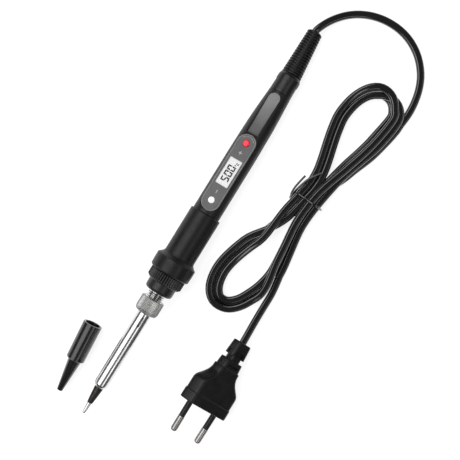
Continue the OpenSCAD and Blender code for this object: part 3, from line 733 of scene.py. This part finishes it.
def make_cord():
    route = cord_route()
    length = sum((b - a).length for a, b in zip(route, route[1:]))
    mesh = sweep(route, cord_section())
    made = piece("mains_cord", mesh, Matrix.Identity(4), "handle", "cord_black", sharp=80)
    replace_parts(made, "cord_from_handle", "cord_hank", "cord_to_plug")
    return made, route, length


cord, route, cord_length = make_cord()


# ------------------------------------------------------------------------- tie

TIE_X = 0.1695
TIE_RADIUS = 0.00064
TIE_STEPS = 5


def make_tie():
    """A coated wire round the middle of the hank. One end is a hook beside it, the other a tail over it."""
    r = TIE_RADIUS
    top = LIFT * 2 + TIE_WIRE + r
    over = top + 1.96 * CORD_T
    x = TIE_X
    points = [
        (x + 0.0118, -0.0370, 0.0022), (x + 0.0075, -0.0361, 0.0024), (x + 0.0028, -0.0354, 0.002),
        (x - 0.0012, -0.0356, 0.0014), (x - 0.0014, -0.0364, 0.0018), (x + 0.0006, -0.0366, 0.0036),
        (x + 0.0006, -0.0385, top + 0.0034), (x + 0.0004, -0.0425, top + 0.0046),
        (x, -0.0465, over), (x - 0.0002, -0.0515, over), (x - 0.0004, -0.0545, 0.007),
        (x - 0.0004, -0.0549, 0.003), (x - 0.0004, -0.0543, 0.0011), (x, -0.0525, r), (x, -0.0460, r),
        (x, -0.0395, r), (x - 0.0006, -0.0370, 0.0009), (x - 0.0022, -0.0361, 0.0014),
        (x - 0.0034, -0.0362, 0.0022), (x - 0.0030, -0.0366, 0.0036), (x, -0.0364, 0.0056),
        (x + 0.005, -0.0374, 0.008), (x + 0.0105, -0.0392, 0.0086), (x + 0.0145, -0.0418, 0.0087),
        (x + 0.0174, -0.0437, 0.0086),
    ]
    path = [from_tip(p) for p in open_curve(points, TIE_STEPS)]
    mesh = sweep(path, round_section(r), level=False)
    return stand_in("twist_tie", mesh, Matrix.Identity(4), sharp=60)


tie = make_tie()


# ------------------------------------------------------------------------- tip, barrel and nut

SIDES_PER_RIB = 6
RIB_EDGE = 1.6                # above 1, the ribs are wider than the grooves between them
NUT_RIBS = 56
VENT = (58.2, 64.6, 1.3)
VENT_ROLL = 22


def ribs(count, depth, x0, x1, r0):
    """A shape for lathe: straight ribs round the part that is further out than r0."""
    def shape(x, r, a):
        if not x0 < x < x1 or r < r0:
            return r
        wave = 0.5 - 0.5 * math.cos(count * a)
        return r - depth * wave ** RIB_EDGE
    return shape


stand_in("soldering_tip", lathe(eased([
    (0, 0), (0, 0.7), (0.3, 0.98), (2, 1.18), (6.8, 1.5), (7.1, 1.65), (11, 2.1), (17.5, 2.7), (19.95, 2.7),
    (19.95, 3.3), (22.15, 3.3), (22.15, 2.8), (43, 2.8), (43, 2.05), (14, 2.05), (14, 0),
], 0.25), 64), IRON)

vent_slot = placed(plate([stadium(*VENT)], 2, 7), turned(VENT_ROLL, "X"))
stand_in("barrel_tube", cut(tube([
    (17.5, 2.85), (17.5, 3.2), (18.1, 3.6), (19.1, 4.0), (20.4, 4.2), (66.6, 4.2), (66.6, 4), (67.8, 4),
    (67.8, 5.15), (69.15, 5.15), (69.15, 3.7), (19.9, 3.7), (19.9, 2.85),
], 0.3), vent_slot), IRON)

stand_in("barrel_nut", tube([
    (66.8, 4.28), (66.8, 5.6), (67.5, 6.5), (69, 7), (75.7, 7), (76.2, 6.6), (76.2, 5.48), (67.75, 5.48),
    (67.75, 4.28),
], 0.2, sides=NUT_RIBS * SIDES_PER_RIB, shape=ribs(NUT_RIBS, 0.25, 67.2, 76, 6.3)), IRON, sharp=60)


# ------------------------------------------------------------------------- carrier and collar

COLLAR_RIBS = 44
NIPPLE_THREADS = 11


def nipple_profile():
    """The threaded tube with its flange. Its thread is drawn as rings, 1 mm apart."""
    thread = []
    for i in range(NIPPLE_THREADS):
        thread += [(69.6 + i, 5.0), (70.1 + i, 5.4)]
    return [(69.2, 4.4), (69.2, 5.0)] + thread + [
        (83.55, 5.4), (83.55, 7.4), (85.15, 7.4), (85.15, 5.4), (89, 5.4), (89, 4.4),
    ]


stand_in("threaded_nipple", tube(nipple_profile(), 0.12, sides=64), IRON, sharp=50)

stand_in("locking_collar", tube([
    (80.4, 5.48), (80.4, 6.9), (80.9, 7.9), (81.9, 8.4), (86.4, 8.5), (86.5, 9.4), (87.7, 10.7), (92.5, 10.7),
    (92.5, 8.98), (87.55, 8.98), (87.55, 7.58), (83.5, 7.58), (83.5, 5.48),
], 0.3, sides=COLLAR_RIBS * SIDES_PER_RIB, shape=ribs(COLLAR_RIBS, 0.6, 86.6, 92.6, 9.6)), IRON, sharp=60)


# ------------------------------------------------------------------------- handle

stand_in("rubber_grip", tube([
    (92.8, 7.32), (92.8, 11.3), (93.6, 12.05), (97, 12.2), (101.2, 12.2), (102.6, 10.5), (103.6, 9.65),
    (104.6, 9.35), (132.4, 9.35), (132.8, 9), (132.8, 7.32),
], 0.35), IRON)

# Start, end and width of the panel and of the label, and the panel's height over the iron's axis
PANEL = (134.6, 184.2, 11.6)
PANEL_Z = (5.4, 6.3)
LABEL = (184.8, 211.6, 7)
DISPLAY_X = 159.6
WINDOW = (16.9, 8)
MINUS_X = 141.2
PLUS_X = 178.4
BUTTON_R = 1.85
BUTTON_GAP = 0.08
POCKET_GAP = 0.1
LABEL_GAP = 0.05
KEY_WELL_R = 2.5
HANDLE_ENDS = (80, 225)
HANDLE_REACH = 15
# How far inside the panel's edge its painted highlight, a paler line, starts and ends
HIGHLIGHT_OUTER = 0.45
HIGHLIGHT_INNER = 0.75


def label_outline(grow=0.0):
    """Square where it meets the panel, and round at the back."""
    x0, x1, w = LABEL
    r = w / 2 + grow
    return [(x0 - grow, r), (x0 - grow, -r)] + arc(x1 - w / 2, 0, r, -90, 90, 24)


def handle_shell():
    """The whole handle, hollow, with pockets for its panel and its label."""
    outside = lathe(eased([
        (85.2, 0), (85.2, 7.5), (87.6, 7.5), (87.6, 8.9), (92.8, 8.9), (92.8, 7.3), (132.8, 7.3),
        (132.8, 8.3), (170, 8.3), (180, 8.18), (190, 7.98), (195, 7.82), (200, 7.57), (212.8, 6.8),
        (212.8, 5.5), (218, 5.5), (218, 0),
    ], 0.2))
    hollow = lathe([
        (84, 0), (84, 5.6), (92.8, 5.6), (93.8, 5.8), (132.8, 5.8), (133.8, 6.9), (170, 6.9), (190, 6.5),
        (208.8, 5.4), (210.8, 4.6), (219, 4.6), (219, 0),
    ], 48)
    hollow = cut(hollow, block((133.3, -10, 4.3), (209.8, 10, 10)))
    x0, x1, w = PANEL
    return cut(
        outside, hollow,
        plate([stadium(x0 - POCKET_GAP, x1 + POCKET_GAP, w + 2 * POCKET_GAP)], PANEL_Z[0], 9),
        plate([label_outline(LABEL_GAP)], 5.3, 9),
        plate([rectangle(DISPLAY_X, 0, WINDOW[0] + 0.7, WINDOW[1] + 0.6)], 3, 6),
        *[plate([arc(x, 0, KEY_WELL_R, 0, 345, 23)], 3, 6) for x in (MINUS_X, PLUS_X)],
    )


def half_handle(low, high):
    """A block between two heights, over the whole length of the handle, to cut it in halves."""
    start, end = HANDLE_ENDS
    return block((start, -HANDLE_REACH, low), (end, HANDLE_REACH, high))


whole = handle_shell()
stand_in("handle_top_shell", cut(whole.copy(), half_handle(-HANDLE_REACH, 0)), IRON, bevel=0.08)
stand_in("handle_bottom_shell", cut(whole, half_handle(0, HANDLE_REACH)), IRON, bevel=0.08)

stand_in("front_panel", plate([
    stadium(*PANEL), rectangle(DISPLAY_X, 0, *WINDOW),
    *[arc(x, 0, BUTTON_R + BUTTON_GAP, 0, 352.5, 47) for x in (MINUS_X, PLUS_X)],
], *PANEL_Z, 0.22), IRON)
stand_in("label_inlay", plate([label_outline()], 5.3, 6.05, 0.1), IRON)


def make_painted_panel_highlight():
    """A painted highlight: the thin paler line a little inside the panel's edge, and a short arc by the plus
    button, where light catches the panel's rim.
    """
    x0, x1, w = PANEL
    rings = [
        [stadium(x0 + inset, x1 - inset, w - 2 * inset) for inset in (HIGHLIGHT_OUTER, HIGHLIGHT_INNER)],
        [arc(x1 - w / 2, 0, w / 2 - 1.5, -60, 60, 20) + arc(x1 - w / 2, 0, w / 2 - 1.8, 60, -60, 20)],
    ]
    mesh = join(*[plate(ring, PANEL_Z[1], 6.36, 0.02) for ring in rings])
    line = piece("painted_panel_highlight", mesh, IRON, "handle", "panel_grey")
    # painted highlight: a lighter grey than the panel, standing in for light caught on its rim
    line.data.materials[0] = moulded("painted_panel_highlight", (0.3, 0.3, 0.305), 0.3, tint=1.1).material


make_painted_panel_highlight()


def upright(x):
    """A frame at a station of the iron whose own X points up out of the panel."""
    return IRON @ moved(x) @ axes_at((0, 0, 1), (1, 0, 0), (0, 1, 0), (0, 0, 0))


def button():
    return lathe(eased([
        (4.7, 0), (4.7, 2.3), (5.35, 2.3), (5.35, BUTTON_R), (7.05, BUTTON_R), (7.2, 0),
    ], 0.35), 48)


stand_in("minus_button", button(), upright(MINUS_X))
stand_in("plus_button", button(), upright(PLUS_X))

stand_in("rear_collar", tube([
    (212.9, 5.55), (212.9, 6.75), (219.8, 6.55), (220.4, 6.8), (223.2, 6.8), (225, 6.1), (225, 4.6),
    (222, 4.6), (222, 5.55),
], 0.2), IRON)


# ------------------------------------------------------------------------- display and marks

SEGMENTS = {"0": "abcdef", "5": "acdfg"}
DIGIT_W, DIGIT_H, STROKE = 2.05, 4.1, 0.86
SEGMENT_GAP = 0.06
DIGIT_PITCH = 3.45
FIRST_DIGIT = -4.25           # from the middle of the display
DEGREE_R = 0.42
DEGREE_HOLE = 0.12
UNIT_R = 0.85
UNIT_STROKE = 0.45
INK_Z = (5.41, 5.44)
MARK_Z = (6.3, 6.33)
PLUS_MARK_X = 172.2
MINUS_MARK_X = 146.8
MARK_W = 0.36


def digit(char, cx, cy):
    """The lit segments of a seven-segment digit, as outlines."""
    w, h, s, gap = DIGIT_W / 2, DIGIT_H / 2, STROKE / 2, SEGMENT_GAP
    top = [(-w - s + gap, h + s), (w + s - gap, h + s), (w - s - gap, h - s), (s + gap - w, h - s)]
    side = [(w + s, h + s - gap), (w + s, gap), (w - s, s + gap), (w - s, h - s - gap)]
    middle = [
        (gap - w, 0), (gap - w + s, s), (w - s - gap, s), (w - gap, 0), (w - s - gap, -s), (gap - w + s, -s),
    ]
    bars = {
        "a": (top, 1, 1), "d": (top, 1, -1), "b": (side, 1, 1), "c": (side, 1, -1), "f": (side, -1, 1),
        "e": (side, -1, -1), "g": (middle, 1, 1),
    }
    return [
        [(cx + x * u, cy + y * v) for u, v in outline]
        for outline, x, y in (bars[n] for n in SEGMENTS[char])
    ]


def make_display():
    """The number and its unit."""
    outlines = []
    for k, char in enumerate("500"):
        outlines += digit(char, DISPLAY_X + FIRST_DIGIT + DIGIT_PITCH * k, 0)
    x, y, r = DISPLAY_X + 6.5, -2, UNIT_R
    outlines.append(arc(x, y, r, 50, 310, 14) + arc(x, y, r - UNIT_STROKE, 310, 50, 14))
    strokes = [plate([o], *INK_Z) for o in outlines]
    degree = [arc(x - 1.5, y + 0.8, radius, 0, 330, 11) for radius in (DEGREE_R, DEGREE_HOLE)]
    strokes.append(plate(degree, *INK_Z))
    ink = piece("display_digits", join(*strokes), IRON, "handle", "display_cell")
    ink.data.materials[0] = moulded(
        "display_ink", (0.002, 0.002, 0.003), 0.8, Specular_IOR_Level=0.1,
    ).material


def make_marks():
    """The plus in three strokes that don't overlap, and the minus."""
    shapes = [
        rectangle(PLUS_MARK_X, 0, 2.2, MARK_W), rectangle(PLUS_MARK_X, 0.64, MARK_W, 0.92),
        rectangle(PLUS_MARK_X, -0.64, MARK_W, 0.92), rectangle(MINUS_MARK_X, 0, 2.0, MARK_W),
    ]
    mesh = join(*[plate([s], *MARK_Z) for s in shapes])
    marks = piece("panel_marks", mesh, IRON, "handle", "panel_grey")
    marks.data.materials[0] = moulded("panel_mark", (0.62, 0.62, 0.61), 0.4, tint=1.1).material


make_display()
make_marks()


# ------------------------------------------------------------------------- boot

BOOT_L, BOOT_R, BOOT_END_R, BOOT_RIBS = 28.1, 6.1, 4.4, 17
GROOVE_DEPTH = 1
RIB_SHARE = 0.58              # how much of the pitch is rib, and the rest is groove
RIB_LIP = 0.15                # what lies higher than this under a rib's top is left as it is
SPINE_HALF = 0.9
SPINE_FLANK = 0.5


def boot_radius(x):
    return BOOT_R + (BOOT_END_R - BOOT_R) * x / BOOT_L


def boot_shape(x, r, a):
    """Fills the grooves where the spines run, above and below."""
    full = boot_radius(x)
    if r > full - RIB_LIP or x <= 0 or x >= BOOT_L:
        return r
    away = abs(full * math.cos(a)) - SPINE_HALF
    t = min(1.0, max(0.0, away / SPINE_FLANK))
    return full - RIB_LIP + (r - full + RIB_LIP) * t * t * (3 - 2 * t)


def make_boot():
    pitch = BOOT_L / BOOT_RIBS
    profile = [(0, 2.0)]
    for i in range(BOOT_RIBS):
        x = pitch * i
        edge = x + RIB_SHARE * pitch
        rib = [(x, 0), (edge, 0), (edge, -GROOVE_DEPTH), (x + pitch, -GROOVE_DEPTH)]
        profile += [(u, boot_radius(u) + d) for u, d in rib]
    profile[-2:] = [(BOOT_L, boot_radius(BOOT_L) - GROOVE_DEPTH), (BOOT_L, 2.0)]
    body = lathe(eased(profile, 0.22, 2), 96, boot_shape)
    neck = lathe([(-7, 0), (-7, 5.4), (-3.4, 5.4), (-3.4, 4.5), (1, 4.5), (1, 0)], 48)
    stand_in("strain_relief_boot", join(body, neck), BOOT, sharp=40)


make_boot()


# ------------------------------------------------------------------------- plug

PIN_SIDE, PIN_TOE_IN = 9.3, 0.9
SLEEVE_END = -9.6
SLEEVE_WIDE = (1.5, 1.8)
# Sections from the face of the plug to its cord end: along, width, thickness, width of the flat top
PLUG_SECTIONS = [
    (0, 33.8, 12.6, 25), (0.25, 34.4, 13.2, 25.5), (0.7, 34.6, 13.4, 25.6), (5.7, 34.6, 13.4, 25.6),
    (6.1, 34.4, 13.2, 25.4), (6.2, 33.6, 12.9, 25.1), (6.5, 33.4, 12.8, 25), (13.2, 33.4, 12.8, 25),
    (14.6, 32.6, 12.7, 24.4), (16, 30.4, 12.4, 22.4), (17.5, 27.3, 12, 19.6), (19, 24.6, 11.5, 17),
    (20.5, 22.2, 11, 15), (22, 20.4, 10.7, 13.6), (23.5, 19.4, 10.5, 12.7), (26.2, 19, 10.4, 12.4),
    (26.4, 18.6, 10.2, 12.2), (26.5, 17, 9.8, 11), (27, 16.8, 9.7, 10.8), (31.4, 15.9, 9.4, 10.1),
    (31.7, 15.4, 9.1, 9.8), (31.8, 9.8, 7.8, 5.8), (34.2, 9.6, 7.6, 5.6), (34.3, 13.8, 8.6, 8.8),
    (34.6, 14.2, 8.8, 9), (42.7, 12.8, 8.3, 7.9), (43.2, 12.4, 8, 7.6), (43.4, 11.6, 7.4, 7),
]
# Slots of the flexible end: where each starts and ends, and the section there
RELIEF_SLOTS = [(27.9, 29.3, 16.5, 9.6, 10.6), (35.1, 37.5, 14, 8.7, 8.9)]
FLAT_SLOT = (0.3, 1.1)        # half its length as a share of the side, and its depth
SLANT_SLOT = (0.25, 1)
SLOT_CLEAR = 2


def plug_ring(x, w, t, flat):
    """A six-sided section with rounded corners."""
    corners = [
        (flat / 2, t / 2), (-flat / 2, t / 2), (-w / 2, 0), (-flat / 2, -t / 2), (flat / 2, -t / 2),
        (w / 2, 0),
    ]
    ring = eased(corners, min(2.4, t / 5), 5, closed=True)
    return [Vector((x, y, z)) * MM for y, z in ring]


def relief_cutters():
    """Blocks that cut a slot into each of the six sides of the flexible end."""
    out = []
    for x0, x1, w, t, flat in RELIEF_SLOTS:
        lean = math.degrees(math.atan2((w - flat) / 2, t / 2))
        slant = math.hypot((w - flat) / 2, t / 2)
        for turn in (0, 180):
            half = flat * FLAT_SLOT[0]
            face = block((x0, -half, t / 2 - FLAT_SLOT[1]), (x1, half, t / 2 + SLOT_CLEAR))
            out.append(placed(face, turned(turn, "X")))
            for side in (-1, 1):
                half = slant * SLANT_SLOT[0]
                face = block((x0, -half, -SLANT_SLOT[1]), (x1, half, SLOT_CLEAR))
                corner = moved(y=side * (w + flat) / 4, z=t / 4) @ turned(-side * (90 - lean), "X")
                out.append(placed(face, turned(turn, "X") @ corner))
    return out


def pin_frame(side):
    return PLUG @ moved(y=side * PIN_SIDE) @ turned(side * PIN_TOE_IN, "Z")


def make_plug():
    rings = [plug_ring(*s) for s in PLUG_SECTIONS]
    body = stand_in("plug_body", cut(skin(rings), *relief_cutters()), PLUG, sharp=50)
    pins, sleeves = [], []
    for side in (-1, 1):
        pin = lathe(eased([
            (-19, 0), (-19, 1.1), (-18.3, 1.8), (-17.2, 2), (SLEEVE_END, 2), (SLEEVE_END, SLEEVE_WIDE[0]),
            (1, SLEEVE_WIDE[0]), (1, 0),
        ], 0.5), 48)
        inside, outside = SLEEVE_WIDE
        sleeve = tube([
            (SLEEVE_END, inside), (SLEEVE_END, outside), (1, outside), (1, inside),
        ], 0.12, sides=48)
        pins.append(placed(pin, PLUG.inverted() @ pin_frame(side)))
        sleeves.append(placed(sleeve, PLUG.inverted() @ pin_frame(side)))
    return body, stand_in("plug_pins", join(*pins), PLUG), stand_in("pin_sleeves", join(*sleeves), PLUG)


plug_pieces = make_plug()


# ------------------------------------------------------------------------- cap

stand_in("protective_cap", lathe(eased([
    (43.6, 0), (43.6, 1.7), (23.5, 4), (23.3, 5), (22.8, 5.5), (0, 5.75), (0, 4.5), (22.4, 4.5), (22.4, 2.8),
    (40.8, 0.9), (40.8, 0),
], 0.3)), CAP)


# ------------------------------------------------------------------------- studio

FLOOR_HALF = 3
FLOOR_DROP = 0.0001           # so that nothing that lies on the floor shares its plane
FLOOR_GREY = (0.45, 0.45, 0.45)
FLOOR_PALER = (0.47, 0.47, 0.47)
FLOOR_GLOW = 0.82
WORLD_LIGHT = 0.1


def make_floor():
    bm = bmesh.new()
    bmesh.ops.create_grid(bm, x_segments=1, y_segments=1, size=FLOOR_HALF)
    mesh = bpy.data.meshes.new("floor")
    bm.to_mesh(mesh)
    bm.free()
    floor = bpy.data.objects.new("floor", mesh)
    floor.location.z = -FLOOR_DROP
    bpy.context.scene.collection.objects.link(floor)
    p = Paint("floor", FLOOR_GREY, 0.9)
    p.set("Base Color", p.blend(p.noise(200, 2), FLOOR_GREY, FLOOR_PALER))
    p.set("Emission Color", (1, 1, 1, 1))
    p.set("Emission Strength", FLOOR_GLOW)
    floor.data.materials.append(p.material)


def softbox(name, place, size, power):
    """A soft light that faces the middle of the row frame."""
    data = bpy.data.lights.new(name, "AREA")
    data.shape = "RECTANGLE"
    data.size, data.size_y = size
    data.energy = power
    light = bpy.data.objects.new(name, data)
    light.location = place
    light.rotation_euler = (-Vector(place)).to_track_quat("-Z", "Y").to_euler()
    bpy.context.scene.collection.objects.link(light)


def make_studio():
    world = bpy.data.worlds.new("studio")
    world.use_nodes = True
    background = world.node_tree.nodes["Background"]
    background.inputs["Color"].default_value = (1, 1, 1, 1)
    background.inputs["Strength"].default_value = WORLD_LIGHT
    bpy.context.scene.world = world
    bpy.context.scene.view_settings.view_transform = "Standard"
    softbox("key", (0, 0.42, 0.8), (1.4, 0.76), 7.3)
    softbox("fill", (0, -0.53, 0.73), (1.4, 0.25), 1.7)


make_floor()
make_studio()
